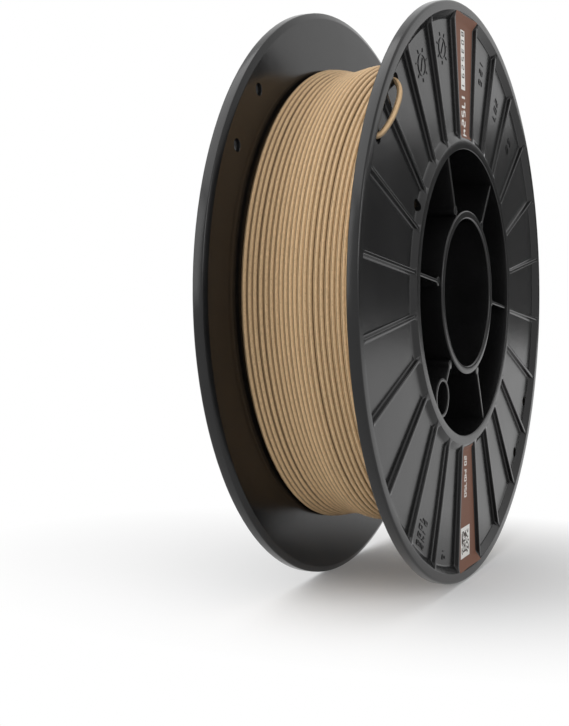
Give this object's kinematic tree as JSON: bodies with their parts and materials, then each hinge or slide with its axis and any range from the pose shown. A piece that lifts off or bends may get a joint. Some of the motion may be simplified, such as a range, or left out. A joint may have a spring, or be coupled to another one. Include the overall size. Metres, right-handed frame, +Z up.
{
  "type": "filament spool",
  "caption": "Plastic filament spool with thin-ribbed flanges, a webbed hub and an open centre bore, wound with strand whose end is looped through holes near the rim.",
  "frame": {"origin": "centre of the bore, at mid-width of the spool", "axes": "+X along the bore, towards the flange that carries the labels and the strand's end; +Z up through the upper label; +Y to the right as seen from +X"},
  "size_m": [0.0547, 0.2, 0.2],
  "materials": {
    "spool_plastic": "satin moulded black plastic",
    "strand": "fine wood-coloured strand with small darker specks",
    "label_film": "printed brown film"
  },
  "bodies": {
    "root": {"front_flange": "spool_plastic", "front_drum": "spool_plastic", "front_bore_tube": "spool_plastic", "front_webs": "spool_plastic", "front_drive_ring": "spool_plastic", "rear_flange": "spool_plastic", "rear_drum": "spool_plastic", "rear_bore_tube": "spool_plastic", "rear_webs": "spool_plastic", "rear_drive_ring": "spool_plastic", "filament_inner_layers": "strand", "filament_outer_turns": "strand", "filament_end": "strand", "upper_label": "label_film", "lower_label": "label_film"}
  },
  "joints": []
}
